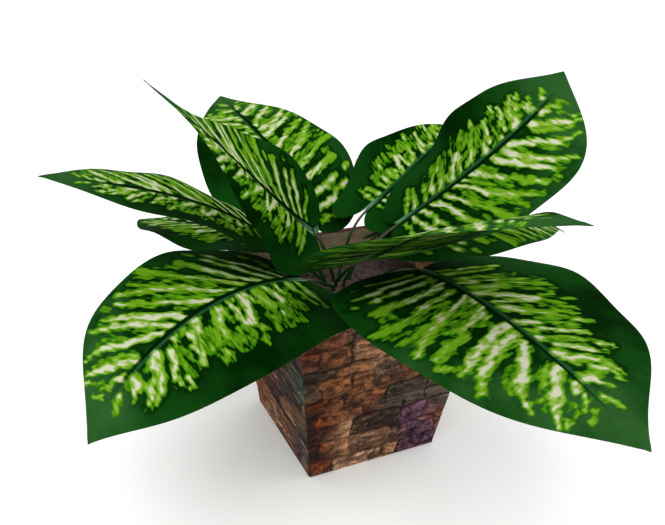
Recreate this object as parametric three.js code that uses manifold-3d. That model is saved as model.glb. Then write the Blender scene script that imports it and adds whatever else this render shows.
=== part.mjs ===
// A dieffenbachia with ten broad leaves in a square, tapered masonry planter.
// Millimetres, +Z up. The origin is the middle of the planter's foot, on the surface it stands on.
import * as THREE from "three";
import { mergeVertices } from "three/addons/utils/BufferGeometryUtils.js";
import Module from "manifold-3d";

const wasm = await Module();
wasm.setup();

// Planter
const POT_TOP = 200; // outer side of the square at the rim
const POT_FOOT = 147; // outer side of the square at the foot
const POT_HEIGHT = 192;
const POT_WALL = 10;
const POT_FLOOR = 12;
const POT_EDGE = 1.5; // small chamfer on every outer edge
const RIM_EDGE = 1; // small chamfer on both edges of the rim
const POT_INNER_EDGE = 0.4; // chamfer in the inner corners

// Soil
const SOIL_TOP = 173;
const SOIL_GAP = 0.3; // clearance to the planter's wall and floor
const SOIL_RELIEF = 0.8; // height of the gentle unevenness of its surface
const SOIL_CELLS = 12;

// Stalks
const STALK_FOOT_RADIUS = 1.7;
const STALK_TOP_RADIUS = 1.3;
const STALK_SIDES = 8;
const STALK_STEPS = 16;
const STALK_BEND = 0.12; // share of the stalk in which it turns out of the upright
const STALK_SUNK = 24; // length standing in the soil
const STALK_INTO_BLADE = 0.05; // how far it runs on under the midrib, as a share of the blade
const HOLE_CLEARANCE = 0.3;

// Blades
const BLADE_THICKNESS = 0.9;
const MIDRIB_THICKNESS = 2.4;
const MIDRIB_HALF_WIDTH = 0.045; // share of the blade's half-width
const WIDEST_AT = 0.33; // share of the blade's length where it is widest
const LOBE_ROWS = 7;
const BLADE_ROWS = 15;
const COLUMNS = [0, MIDRIB_HALF_WIDTH, 0.28, 0.52, 0.77, 1];
const VEIN_REACH = 0.2; // how far a side vein runs forward, as a share of the length
const WAVES = 2.2; // edge waves along a blade
const SPINE_STEPS = 60;
const PINCH_END = 0.4; // share of the length where a pinched half is back to its full width

// One entry for each leaf. Angles are in degrees, lengths in millimetres.
// foot: where the stalk leaves the soil. heading: compass direction of the blade's base, 0 is +X.
// stalk: length, rise above the horizontal, and sideways turn at its foot.
// rise: slope of the midrib at the blade's base, middle and tip. turn: sideways bend towards the tip.
// roll and twist: tilt about the midrib at the base, and how much it changes up to the tip.
// left and right: how much that half is raised from flat at the midrib (tilt), how it curls on
// towards the edge, and the height and phase of its edge waves. pinch is the share by which that
// half is narrower at the base.
const LEAVES = {
  leaf_01: {
    foot: [-21, -6], heading: -147, stalk: [75, 33, 8],
    length: 273, halfWidth: 90, fullness: 1.3, lobe: 0.09,
    rise: [22, -5, -63], turn: -18, roll: -8, twist: 10,
    left: { tilt: -6, curl: 3, wave: 1.5, phase: 0.6 },
    right: { tilt: -1, curl: 1, wave: 2.5, phase: 0.45 },
  },
  leaf_02: {
    foot: [0, -30], heading: -92, stalk: [138, 44, -2],
    length: 249, halfWidth: 105, fullness: 1.3, lobe: 0.09,
    rise: [15, -3, -25], turn: 17, roll: 0, twist: -12,
    left: { tilt: 1, curl: 1, wave: 2.5, phase: 0.6 },
    right: { tilt: -4, curl: -2, wave: 1.5, phase: 0.85 },
  },
  leaf_03: {
    foot: [-15, 2], heading: -97, stalk: [116, 39, -8],
    length: 287, halfWidth: 80, fullness: 0.7, lobe: 0.09,
    rise: [31, 30, 10], turn: 21, roll: 2, twist: -5,
    left: { tilt: -4, curl: 10, wave: 0, phase: 0 },
    right: { tilt: -5, curl: 8, wave: 0.5, phase: 0.25 },
  },
  leaf_04: {
    foot: [4, 9], heading: 8, stalk: [63, 68, 4],
    length: 289, halfWidth: 89, fullness: 0.7, lobe: 0.09,
    rise: [9, -9, -33], turn: -11, roll: 0, twist: -2,
    left: { tilt: -9, curl: -6, wave: 0, phase: 0, pinch: 0.85 },
    right: { tilt: -1, curl: -15, wave: 1.5, phase: 0.2 },
  },
  leaf_05: {
    foot: [-6, 1], heading: -30, stalk: [96, 60, -57],
    length: 225, halfWidth: 81, fullness: 1.1, lobe: 0.08,
    rise: [41, 41, 29], turn: 69, roll: 17, twist: 4,
    left: { tilt: -6, curl: 1, wave: 5, phase: 0.2 },
    right: { tilt: -19, curl: 20, wave: 2.5, phase: 0.15, pinch: 0.42 },
  },
  leaf_06: {
    foot: [-7, 12], heading: 16, stalk: [87, 78, 6],
    length: 194, halfWidth: 62, fullness: 0, lobe: 0.16,
    rise: [25, 21, -20], turn: 30, roll: -15, twist: 40,
    left: { tilt: 4, curl: 12, wave: 4, phase: 0.55 },
    right: { tilt: -17, curl: -6, wave: 0.5, phase: 0.95 },
  },
  leaf_07: {
    foot: [-9, 20], heading: 106, stalk: [53, 59, 2],
    length: 268, halfWidth: 83, fullness: 0.5, lobe: 0.04,
    rise: [56, 18, 0], turn: -25, roll: 6, twist: -5,
    left: { tilt: -7, curl: -39, wave: 4, phase: 0.05 },
    right: { tilt: 3, curl: 10, wave: 3.5, phase: 0.6 },
  },
  leaf_08: {
    foot: [-13, 12], heading: -150, stalk: [89, 67, 11],
    length: 234, halfWidth: 59, fullness: 0, lobe: 0.11,
    rise: [38, 45, 43], turn: -38, roll: -53, twist: 58,
    left: { tilt: -2, curl: -52, wave: 4, phase: 0.4 },
    right: { tilt: 8, curl: 24, wave: 3, phase: 0.8 },
  },
  leaf_09: {
    foot: [-23, 8], heading: -178, stalk: [86, 42, 2],
    length: 224, halfWidth: 65, fullness: 0.9, lobe: 0.11,
    rise: [44, 21, 9], turn: -14, roll: -7, twist: 7,
    left: { tilt: 3, curl: -2, wave: 2.5, phase: 0.2 },
    right: { tilt: 6, curl: -21, wave: 2.5, phase: 0.25 },
  },
  leaf_10: {
    foot: [-20, 18], heading: 127, stalk: [67, 47, -2],
    length: 222, halfWidth: 68, fullness: 0.7, lobe: 0.08,
    rise: [-1, -8, -18], turn: -22, roll: 1, twist: 9,
    left: { tilt: 4, curl: -8, wave: 4, phase: 0.1 },
    right: { tilt: 5, curl: -2, wave: 0, phase: 0 },
  },
};

const rad = THREE.MathUtils.degToRad;

// Indexed geometry from points and triangles, with merged vertices and face normals.
function solidGeometry(points, triangles) {
  const geometry = new THREE.BufferGeometry();
  const flat = points.flatMap((p) => [p.x, p.y, p.z]);
  geometry.setAttribute("position", new THREE.Float32BufferAttribute(flat, 3));
  geometry.setIndex(triangles.flat());
  return mergeVertices(geometry, 1e-4);
}

function toManifold(geometry) {
  const mesh = new wasm.Mesh({
    numProp: 3,
    vertProperties: new Float32Array(geometry.attributes.position.array),
    triVerts: new Uint32Array(geometry.index.array),
  });
  return new wasm.Manifold(mesh);
}

function fromManifold(solid) {
  const mesh = solid.getMesh();
  const geometry = new THREE.BufferGeometry();
  const positions = new Float32Array(mesh.vertProperties);
  geometry.setAttribute("position", new THREE.BufferAttribute(positions, 3));
  geometry.setIndex(new THREE.BufferAttribute(new Uint32Array(mesh.triVerts), 1));
  return geometry;
}

// A closed skin through rings of equal point count, from the first ring to the last.
function skinRings(rings) {
  const count = rings[0].length;
  const triangles = [];
  for (let r = 0; r + 1 < rings.length; r += 1) {
    for (let i = 0; i < count; i += 1) {
      const a = r * count + i;
      const b = r * count + ((i + 1) % count);
      triangles.push([a, b, b + count], [a, b + count, a + count]);
    }
  }
  const last = (rings.length - 1) * count;
  for (let i = 1; i + 1 < count; i += 1) {
    triangles.push([0, i + 1, i]);
    triangles.push([last, last + i, last + i + 1]);
  }
  return solidGeometry(rings.flat(), triangles);
}

// A square ring with cut corners at height z, counter-clockwise from above.
function squareRing(half, z, cut) {
  const ring = [];
  for (let corner = 0; corner < 4; corner += 1) {
    const turn = (corner * Math.PI) / 2;
    for (const [x, y] of [[half, half - cut], [half - cut, half]]) {
      const c = Math.cos(turn);
      const s = Math.sin(turn);
      ring.push(new THREE.Vector3(c * x - s * y, s * x + c * y, z));
    }
  }
  return ring;
}

// Outer half side of the planter at a height.
function potHalf(z) {
  return THREE.MathUtils.lerp(POT_FOOT, POT_TOP, z / POT_HEIGHT) / 2;
}

function potGeometry() {
  const inner = (z) => potHalf(z) - POT_WALL;
  return skinRings([
    squareRing(potHalf(0) - POT_EDGE, 0, POT_EDGE),
    squareRing(potHalf(POT_EDGE), POT_EDGE, POT_EDGE),
    squareRing(potHalf(POT_HEIGHT) - 0.2, POT_HEIGHT - RIM_EDGE, POT_EDGE),
    squareRing(potHalf(POT_HEIGHT) - RIM_EDGE, POT_HEIGHT, POT_EDGE),
    squareRing(inner(POT_HEIGHT) + RIM_EDGE, POT_HEIGHT, POT_INNER_EDGE),
    squareRing(inner(POT_HEIGHT), POT_HEIGHT - RIM_EDGE, POT_INNER_EDGE),
    squareRing(inner(POT_FLOOR), POT_FLOOR, POT_INNER_EDGE),
  ]);
}

// Height of the soil's surface: a few broad, shallow swells that fade out at the wall.
function soilHeight(x, y) {
  const half = potHalf(SOIL_TOP) - POT_WALL;
  const fade = (1 - (x / half) ** 2) * (1 - (y / half) ** 2);
  const swell = Math.sin(x / 17 + 0.6) * Math.cos(y / 21 - 0.4) + 0.5 * Math.sin((x + y) / 11);
  return SOIL_TOP + SOIL_RELIEF * fade * swell;
}

function soilGeometry() {
  const low = POT_FLOOR + SOIL_GAP;
  const lowHalf = potHalf(low) - POT_WALL - SOIL_GAP;
  const topHalf = potHalf(SOIL_TOP) - POT_WALL - SOIL_GAP;
  const points = [];
  const triangles = [];
  const at = (i, j) => i * (SOIL_CELLS + 1) + j;
  const grid = (SOIL_CELLS + 1) ** 2;
  for (const [half, top] of [[topHalf, true], [lowHalf, false]]) {
    for (let i = 0; i <= SOIL_CELLS; i += 1) {
      for (let j = 0; j <= SOIL_CELLS; j += 1) {
        const x = THREE.MathUtils.lerp(-half, half, i / SOIL_CELLS);
        const y = THREE.MathUtils.lerp(-half, half, j / SOIL_CELLS);
        points.push(new THREE.Vector3(x, y, top ? soilHeight(x, y) : low));
      }
    }
  }
  for (let i = 0; i < SOIL_CELLS; i += 1) {
    for (let j = 0; j < SOIL_CELLS; j += 1) {
      const quad = [at(i, j), at(i + 1, j), at(i + 1, j + 1), at(i, j + 1)];
      triangles.push([quad[0], quad[1], quad[2]], [quad[0], quad[2], quad[3]]);
      const under = quad.map((v) => v + grid);
      triangles.push([under[0], under[2], under[1]], [under[0], under[3], under[2]]);
    }
  }
  // The four sides join the rims of the two grids.
  const n = SOIL_CELLS;
  const side = (a, b) => triangles.push([a, a + grid, b + grid], [a, b + grid, b]);
  for (let k = 0; k < n; k += 1) {
    side(at(k, 0), at(k + 1, 0));
    side(at(n, k), at(n, k + 1));
    side(at(n - k, n), at(n - k - 1, n));
    side(at(0, n - k), at(0, n - k - 1));
  }
  return solidGeometry(points, triangles);
}

// A closed tube of round sections through a list of points, with a radius for each.
function tubeGeometry(path, radii) {
  const rings = path.map((point, k) => {
    const before = path[Math.max(k - 1, 0)];
    const after = path[Math.min(k + 1, path.length - 1)];
    const along = after.clone().sub(before).normalize();
    const across = new THREE.Vector3(0, 0, 1).cross(along);
    if (across.length() < 1e-3) across.set(1, 0, 0);
    across.normalize();
    return { point, along, across };
  });
  // Each section keeps the direction of the one before, so that the tube doesn't twist.
  for (let k = rings.length - 2; k >= 0; k -= 1) {
    const next = rings[k + 1].across;
    rings[k].across.copy(next).addScaledVector(rings[k].along, -next.dot(rings[k].along)).normalize();
  }
  return skinRings(rings.map(({ point, along, across }, k) => {
    const up = along.clone().cross(across);
    const ring = [];
    for (let i = 0; i < STALK_SIDES; i += 1) {
      const turn = (i * 2 * Math.PI) / STALK_SIDES;
      const out = across.clone().multiplyScalar(Math.cos(turn)).addScaledVector(up, Math.sin(turn));
      ring.push(point.clone().addScaledVector(out, radii[k]));
    }
    return ring;
  }));
}

function direction(rise, heading) {
  return new THREE.Vector3(
    Math.cos(rise) * Math.cos(heading),
    Math.cos(rise) * Math.sin(heading),
    Math.sin(rise),
  );
}

// Slope of the midrib at share s of the blade: a parabola through base, middle and tip.
function midribRise(leaf, s) {
  const [base, middle, tip] = leaf.rise;
  return rad(base * (1 - s) * (1 - 2 * s) + 4 * middle * s * (1 - s) + tip * s * (2 * s - 1));
}

function midribHeading(leaf, s) {
  return rad(leaf.heading + leaf.turn * s * s);
}

// Points of the stalk from the soil to the blade.
function stalkPath(leaf) {
  const [length, rise, turn] = leaf.stalk;
  const point = new THREE.Vector3(leaf.foot[0], leaf.foot[1], SOIL_TOP);
  const path = [point.clone()];
  const fine = 5 * STALK_STEPS;
  for (let i = 0; i < fine; i += 1) {
    const u = (i + 0.5) / fine;
    const upright = (90 - rise) * Math.max(1 - u / STALK_BEND, 0) ** 2;
    const slope = rise + (leaf.rise[0] - rise) * u * u + upright;
    const heading = leaf.heading + turn * (1 - u) ** 2;
    point.addScaledVector(direction(rad(slope), rad(heading)), length / fine);
    if ((i + 1) % 5 === 0) path.push(point.clone());
  }
  return path;
}

// Points of the midrib, evenly spaced from the blade's base to its tip.
function midribPath(leaf, base) {
  const point = base.clone();
  const path = [point.clone()];
  for (let i = 0; i < SPINE_STEPS; i += 1) {
    const s = (i + 0.5) / SPINE_STEPS;
    const step = direction(midribRise(leaf, s), midribHeading(leaf, s));
    point.addScaledVector(step, leaf.length / SPINE_STEPS);
    path.push(point.clone());
  }
  return path;
}

// A function that gives the blade's middle surface: x is the share of the length from the base,
// y the share of the half-width, positive on the left when looking towards the tip.
function bladeSurface(leaf, base) {
  const path = midribPath(leaf, base);
  return (x, y) => {
    const s = THREE.MathUtils.clamp(x, 0, 1);
    const k = Math.min(Math.floor(s * SPINE_STEPS), SPINE_STEPS - 1);
    const point = path[k].clone().lerp(path[k + 1], s * SPINE_STEPS - k);
    const along = direction(midribRise(leaf, s), midribHeading(leaf, s));
    const heading = midribHeading(leaf, s);
    const level = new THREE.Vector3(-Math.sin(heading), Math.cos(heading), 0);
    const roll = rad(leaf.roll + leaf.twist * s);
    const across = level.clone().applyAxisAngle(along, roll);
    const up = along.clone().cross(across);
    const half = y >= 0 ? leaf.left : leaf.right;
    const narrowed = (half.pinch ?? 0) * THREE.MathUtils.clamp(1 - x / PINCH_END, 0, 1);
    const f = Math.abs(y) * (1 - narrowed);
    const tilt = rad(half.tilt);
    const bend = (rad(half.curl) * f) / 2;
    const chord = f * leaf.halfWidth * (Math.abs(bend) < 1e-6 ? 1 : Math.sin(bend) / bend);
    const wave = half.wave * f * f * Math.sin(2 * Math.PI * (WAVES * x + half.phase));
    return point
      .addScaledVector(along, (x - s) * leaf.length)
      .addScaledVector(across, Math.sign(y) * chord * Math.cos(tilt + bend))
      .addScaledVector(up, chord * Math.sin(tilt + bend) + wave);
  };
}

function cubic(a, b, c, d, t) {
  const u = 1 - t;
  return a * u ** 3 + 3 * b * u * u * t + 3 * c * u * t * t + d * t ** 3;
}

// Rows of a half blade: where each row leaves the midrib, and where it meets the edge.
// The edge is two arcs, one round the lobe behind the base and one on to the pointed tip.
function bladeRows(leaf) {
  const rows = [];
  const reach = WIDEST_AT - VEIN_REACH;
  for (let i = 0; i < LOBE_ROWS; i += 1) {
    const t = 0.12 + (0.88 * i) / LOBE_ROWS;
    rows.push({
      root: reach * t ** 1.6,
      x: cubic(0, -1.6 * leaf.lobe, -0.9 * leaf.lobe, WIDEST_AT, t),
      y: cubic(0, 0.28, 1, 1, t),
    });
  }
  for (let i = 0; i < BLADE_ROWS; i += 1) {
    const t = i / BLADE_ROWS;
    const x = cubic(WIDEST_AT, 0.55 + 0.2 * leaf.fullness, 0.8, 1, t);
    const y = cubic(1, 1, 0.05 + 0.45 * leaf.fullness, 0, t);
    rows.push({ root: x - (VEIN_REACH * (1 - x)) / (1 - WIDEST_AT), x, y });
  }
  return rows;
}

// The blade: an upper and a lower face split into triangles alike, and a narrow edge all round.
function bladeGeometry(leaf, base) {
  const surface = bladeSurface(leaf, base);
  const rows = bladeRows(leaf);
  const width = 2 * COLUMNS.length - 1;
  const middle = COLUMNS.length - 1;
  const top = [];
  const bottom = [];
  const addPoint = (x, y, thickness) => {
    const e = 1e-3;
    const alongX = surface(x + e, y).sub(surface(x - e, y));
    const alongY = y === 0
      ? surface(x, e).sub(surface(x, -e))
      : surface(x, y + e * Math.sign(y)).sub(surface(x, y - e * Math.sign(y)));
    if (y < 0) alongY.negate();
    const normal = alongX.cross(alongY).normalize();
    const point = surface(x, y);
    top.push(point.clone().addScaledVector(normal, BLADE_THICKNESS / 2));
    bottom.push(point.addScaledVector(normal, BLADE_THICKNESS / 2 - thickness));
  };
  for (const row of rows) {
    for (let c = 0; c < width; c += 1) {
      const side = Math.sign(c - middle);
      const f = COLUMNS[Math.abs(c - middle)];
      const taper = 1 - 0.6 * row.root;
      const rib = f === 0 ? (MIDRIB_THICKNESS - BLADE_THICKNESS) * taper : 0;
      addPoint(row.root + (row.x - row.root) * f, side * f * row.y, BLADE_THICKNESS + rib);
    }
  }
  addPoint(1, 0, BLADE_THICKNESS);
  const points = [...top, ...bottom];
  const under = top.length;
  const tip = under - 1;
  const triangles = [];
  const both = (a, b, c) => triangles.push([a, b, c], [a + under, c + under, b + under]);
  const at = (r, c) => r * width + c;
  const last = rows.length - 1;
  for (let r = 0; r < last; r += 1) {
    for (let c = 0; c + 1 < width; c += 1) {
      const [p, q, s, t] = [at(r, c), at(r + 1, c), at(r + 1, c + 1), at(r, c + 1)];
      if (c < middle) {
        both(p, q, t);
        both(q, s, t);
      } else {
        both(p, q, s);
        both(p, s, t);
      }
    }
  }
  for (let c = 0; c + 1 < width; c += 1) both(at(last, c), tip, at(last, c + 1));
  // The edge, walked once round.
  const rim = [];
  for (let c = width - 1; c > 0; c -= 1) rim.push(at(0, c));
  for (let r = 0; r <= last; r += 1) rim.push(at(r, 0));
  rim.push(tip);
  for (let r = last; r > 0; r -= 1) rim.push(at(r, width - 1));
  rim.forEach((a, k) => {
    const b = rim[(k + 1) % rim.length];
    triangles.push([a, a + under, b + under], [a, b + under, b]);
  });
  return solidGeometry(points, triangles);
}

// One leaf: its stalk, from inside the soil to under the midrib, joined to its blade.
function leafSolid(leaf) {
  const stalk = stalkPath(leaf);
  const base = stalk[stalk.length - 1];
  const surface = bladeSurface(leaf, base);
  const e = 1e-3;
  const along = surface(e, 0).sub(surface(0, 0)).normalize();
  const across = surface(0, e).sub(surface(0, -e)).normalize();
  const down = along.clone().cross(across).multiplyScalar(-0.8 * STALK_TOP_RADIUS);
  const sunk = stalk[0].clone().setZ(SOIL_TOP - STALK_SUNK);
  const beyond = surface(STALK_INTO_BLADE, 0).add(down);
  // The top of the stalk eases down so that it meets the midrib from below.
  const eased = stalk.map((point, k) => point.clone().addScaledVector(down, (k / STALK_STEPS) ** 6));
  const path = [sunk, ...eased, beyond];
  const radii = path.map((point, k) => {
    const share = THREE.MathUtils.clamp((k - 1) / STALK_STEPS, 0, 1);
    return THREE.MathUtils.lerp(STALK_FOOT_RADIUS, STALK_TOP_RADIUS, share);
  });
  radii[radii.length - 1] = 0.7 * STALK_TOP_RADIUS;
  return toManifold(tubeGeometry(path, radii)).add(toManifold(bladeGeometry(leaf, base)));
}

// The hole that a stalk stands in.
function holeSolid(leaf) {
  const radius = STALK_FOOT_RADIUS + HOLE_CLEARANCE;
  const depth = STALK_SUNK + HOLE_CLEARANCE;
  const above = 6;
  const hole = new THREE.CylinderGeometry(radius, radius, depth + above, 12);
  hole.rotateX(Math.PI / 2);
  hole.translate(leaf.foot[0], leaf.foot[1], SOIL_TOP + above - (depth + above) / 2);
  hole.deleteAttribute("normal");
  hole.deleteAttribute("uv");
  return toManifold(mergeVertices(hole, 1e-4));
}

function material(color, roughness) {
  return new THREE.MeshStandardMaterial({ color, roughness, metalness: 0 });
}

function named(name, geometry, look) {
  const faceted = geometry.toNonIndexed();
  faceted.computeVertexNormals();
  const mesh = new THREE.Mesh(faceted, look);
  mesh.name = name;
  return mesh;
}

const plant = new THREE.Group();
plant.name = "potted_dieffenbachia";
plant.add(named("pot", potGeometry(), material(0x8a5f42, 0.85)));

let soil = toManifold(soilGeometry());
for (const leaf of Object.values(LEAVES)) soil = soil.subtract(holeSolid(leaf));
plant.add(named("soil", fromManifold(soil), material(0x3b2c26, 0.95)));

for (const [name, leaf] of Object.entries(LEAVES)) {
  plant.add(named(name, fromManifold(leafSolid(leaf)), material(0x2f7a34, 0.45)));
}

export default plant;
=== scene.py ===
"""Looks of the potted dieffenbachia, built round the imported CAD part.

Fine leaves with relief and variegation, a planter with masonry relief, crumbly soil, floor, light
and camera. Sizes below are in millimetres and degrees, as in the CAD source, and every mesh is
scaled to metres when it is made.
"""

import math

import bmesh
import bpy
import numpy as np
from mathutils import Matrix, Vector

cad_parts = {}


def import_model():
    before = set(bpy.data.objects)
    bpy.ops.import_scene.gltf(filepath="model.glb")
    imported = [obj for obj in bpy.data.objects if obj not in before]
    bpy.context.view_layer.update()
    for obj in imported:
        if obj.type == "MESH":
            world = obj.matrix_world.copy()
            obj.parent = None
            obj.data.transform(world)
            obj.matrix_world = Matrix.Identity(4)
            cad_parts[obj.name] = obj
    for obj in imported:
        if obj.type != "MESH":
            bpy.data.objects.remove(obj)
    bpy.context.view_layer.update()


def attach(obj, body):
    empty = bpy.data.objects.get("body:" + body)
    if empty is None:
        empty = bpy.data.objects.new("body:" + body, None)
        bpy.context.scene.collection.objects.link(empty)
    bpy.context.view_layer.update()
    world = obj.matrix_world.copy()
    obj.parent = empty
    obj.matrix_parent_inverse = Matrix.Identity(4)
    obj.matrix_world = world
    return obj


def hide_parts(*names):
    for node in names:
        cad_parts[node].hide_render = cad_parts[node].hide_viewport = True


MM = 0.001
SEED = 7
SHARP_ANGLE = 50  # edges sharper than this stay crisp

# Planter
FRONT, RIGHT, BACK, LEFT = range(4)  # its sides, anticlockwise
POT_TOP = 200
POT_FOOT = 147
POT_HEIGHT = 192
POT_WALL = 10
POT_FLOOR = 12
POT_EDGE = 1.5
RIM_EDGE = 1
SIDE_POINTS = 140  # mesh points along each side of the planter
WALL_ROWS = 140
COURSE_HEIGHT = (13, 27)
COURSES_DRAWN = 30  # more than the walls need
LOWEST_COURSE = -3  # where it starts, a little below the foot
STONE_LENGTH = (20, 56)
STONES_IN_COURSE = 60
FIRST_JOINT = -160  # left of the wall, and up to JOINT_SHIFT further
JOINT_SHIFT = 40
NUMBER_STEP = 97  # from one course's stone numbers to the next's
LEFT_STRETCH = 2.2  # how much longer the left wall's stones are
WALL_OFFSET = 180  # between one wall's part of the pattern and the next's
JOINT_DEPTH = 1.9
JOINT_WIDTH = 1.5
CRACK_DEPTH = 1.1
CRACK_WIDTH = 0.8
CORNER_WIDTH = 1.5  # where the relief is held back
STONE_RELIEF = 1.0
DEEPEST_RELIEF = 3.2
RELIEF_FADE = 2  # over which the relief dies away at foot and rim
INNER_BELOW_SOIL = 6  # how far the inner wall is modelled below the soil
INNER_ROWS = 18
# Painted light: the masonry inside the planter is painted lighter, against the shade that lies there.
INNER_PAINTED_LIGHT = 2.2  # how much lighter the masonry is on the inside
OWN_COLOUR = 0.45  # how much a stone keeps to the colour at its middle

# Soil
SOIL_TOP = 173
SOIL_RELIEF = 0.8
SOIL_GAP = 0.3
SOIL_POINTS = 150
SOIL_LOWERED = 0.4  # so that the lumps lie about the solid's surface
CRUMBS = 260
CRUMB_RADIUS = (0.8, 2.1)
CRUMB_MARGIN = 4  # from walls and stalks

# Stalks
STALK_FOOT_RADIUS = 1.7
STALK_TOP_RADIUS = 1.3
STALK_BEND = 0.12  # the share of a stalk that starts upright
STALK_SUNK = 24
STALK_STEPS = 80
STALK_SIDES = 12
KEEL_END = 0.96  # where the keel under the midrib ends, as a share of the blade
KEEL_STEPS = 56
KEEL_TAPER = 0.75
KEEL_DROP = 0.25  # below the blade's middle, besides a share of its radius
KEEL_DROP_SHARE = 0.55

# Blades
BLADE_THICKNESS = 0.6
EDGE_THICKNESS = 0.35
WIDEST_AT = 0.33
VEIN_REACH = 0.2  # how far ahead of its root a side vein meets the edge
WAVES = 2.2  # ripples along an edge
SPINE_STEPS = 60
PINCH_END = 0.4  # where a pinched half is back to its full width
LOBE_START = 0.08
LOBE_ROWS = 60
BLADE_ROWS = 161
HALF_COLUMNS = 56
VEIN_SPACING = 11
VEIN_HEIGHT = 0.16
GROOVE_DEPTH = 0.7
GROOVE_WIDTH = 1.3
SHOULDER_HEIGHT = 0.22
SHOULDER_AT = 4.5  # from the midrib
PUCKER_HEIGHT = 0.2
THIN_EDGE = 0.1  # share of the half-width over which the blade thins
FAR_FROM_STREAK = -6.0
LIME_SPREAD = 1.8  # how far lime reaches, besides most of its streak's half-width
CREAM_INSET = 1.2  # how far cream stays inside the lime round it
LIME_DEPTH = 1.1  # how deep a lime streak counts at most, so that dark holes break it up
CREAM_DEPTH = 1.5  # the same for cream, which lime breaks up
PATTERN_LENGTH = 250  # the blade on which the markings are laid out
PATTERN_HALF_WIDTH = 95

# Camera, in millimetres and radians. Floor and lights, in metres and watts.
FOCAL_PIXELS = 756.3
FRAME_WIDTH = 665
CAMERA_YAW = -0.456
CAMERA_PITCH = 0.435
CAMERA_ROLL = 0.0361
CAMERA_DISTANCE = 765.6
CAMERA_TARGET = (-20.3, 0, 201.64)
FLOOR_REACH = 14
LIGHTS = {"key": ((-1.2, -1.4, 2.4), 1.6, 30), "fill": ((1.8, -0.6, 1.6), 1.8, 8)}
LIT_POINT = (0, 0, 0.2)

CORNERS = ((-1, -1), (1, -1), (1, 1), (-1, 1))  # round a square

# The same leaves as in the CAD source. foot: where the stalk stands. stalk: its length, rise and
# turn. rise: the midrib's, at base, middle and tip. left, right: tilt, curl, wave and its phase
# for each half. pinch: how much narrower each half starts. shift: of the markings to the tip.
LEAVES = {
    "leaf_01": dict(
        foot=(-21, -6), heading=-147, stalk=(75, 33, 8), length=273, half_width=90,
        fullness=1.3, lobe=0.09, rise=(22, -5, -63), turn=-18, roll=-8, twist=10,
        left=(-6, 3, 1.5, 0.6), right=(-1, 1, 2.5, 0.45), shift=0.06,
    ),
    "leaf_02": dict(
        foot=(0, -30), heading=-92, stalk=(138, 44, -2), length=249, half_width=105,
        fullness=1.3, lobe=0.09, rise=(15, -3, -25), turn=17, roll=0, twist=-12,
        left=(1, 1, 2.5, 0.6), right=(-4, -2, 1.5, 0.85),
    ),
    "leaf_03": dict(
        foot=(-15, 2), heading=-97, stalk=(116, 39, -8), length=287, half_width=80,
        fullness=0.7, lobe=0.09, rise=(31, 30, 10), turn=21, roll=2, twist=-5,
        left=(-4, 10, 0, 0), right=(-5, 8, 0.5, 0.25),
    ),
    "leaf_04": dict(
        foot=(4, 9), heading=8, stalk=(63, 68, 4), length=289, half_width=89,
        fullness=0.7, lobe=0.09, rise=(9, -9, -33), turn=-11, roll=0, twist=-2,
        left=(-9, -6, 0, 0), right=(-1, -15, 1.5, 0.2), pinch=(0.85, 0),
    ),
    "leaf_05": dict(
        foot=(-6, 1), heading=-30, stalk=(96, 60, -57), length=225, half_width=81,
        fullness=1.1, lobe=0.08, rise=(41, 41, 29), turn=69, roll=17, twist=4,
        left=(-6, 1, 5, 0.2), right=(-19, 20, 2.5, 0.15), shift=-0.02, pinch=(0, 0.42),
    ),
    "leaf_06": dict(
        foot=(-7, 12), heading=16, stalk=(87, 78, 6), length=194, half_width=62,
        fullness=0, lobe=0.16, rise=(25, 21, -20), turn=30, roll=-15, twist=40,
        left=(4, 12, 4, 0.55), right=(-17, -6, 0.5, 0.95),
    ),
    "leaf_07": dict(
        foot=(-9, 20), heading=106, stalk=(53, 59, 2), length=268, half_width=83,
        fullness=0.5, lobe=0.04, rise=(56, 18, 0), turn=-25, roll=6, twist=-5,
        left=(-7, -39, 4, 0.05), right=(3, 10, 3.5, 0.6),
    ),
    "leaf_08": dict(
        foot=(-13, 12), heading=-150, stalk=(89, 67, 11), length=234, half_width=59,
        fullness=0, lobe=0.11, rise=(38, 45, 43), turn=-38, roll=-53, twist=58,
        left=(-2, -52, 4, 0.4), right=(8, 24, 3, 0.8),
    ),
    "leaf_09": dict(
        foot=(-23, 8), heading=-178, stalk=(86, 42, 2), length=224, half_width=65,
        fullness=0.9, lobe=0.11, rise=(44, 21, 9), turn=-14, roll=-7, twist=7,
        left=(3, -2, 2.5, 0.2), right=(6, -21, 2.5, 0.25),
    ),
    "leaf_10": dict(
        foot=(-20, 18), heading=127, stalk=(67, 47, -2), length=222, half_width=68,
        fullness=0.7, lobe=0.08, rise=(-1, -8, -18), turn=-22, roll=1, twist=9,
        left=(4, -8, 4, 0.1), right=(5, -2, 0, 0),
    ),
}
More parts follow.
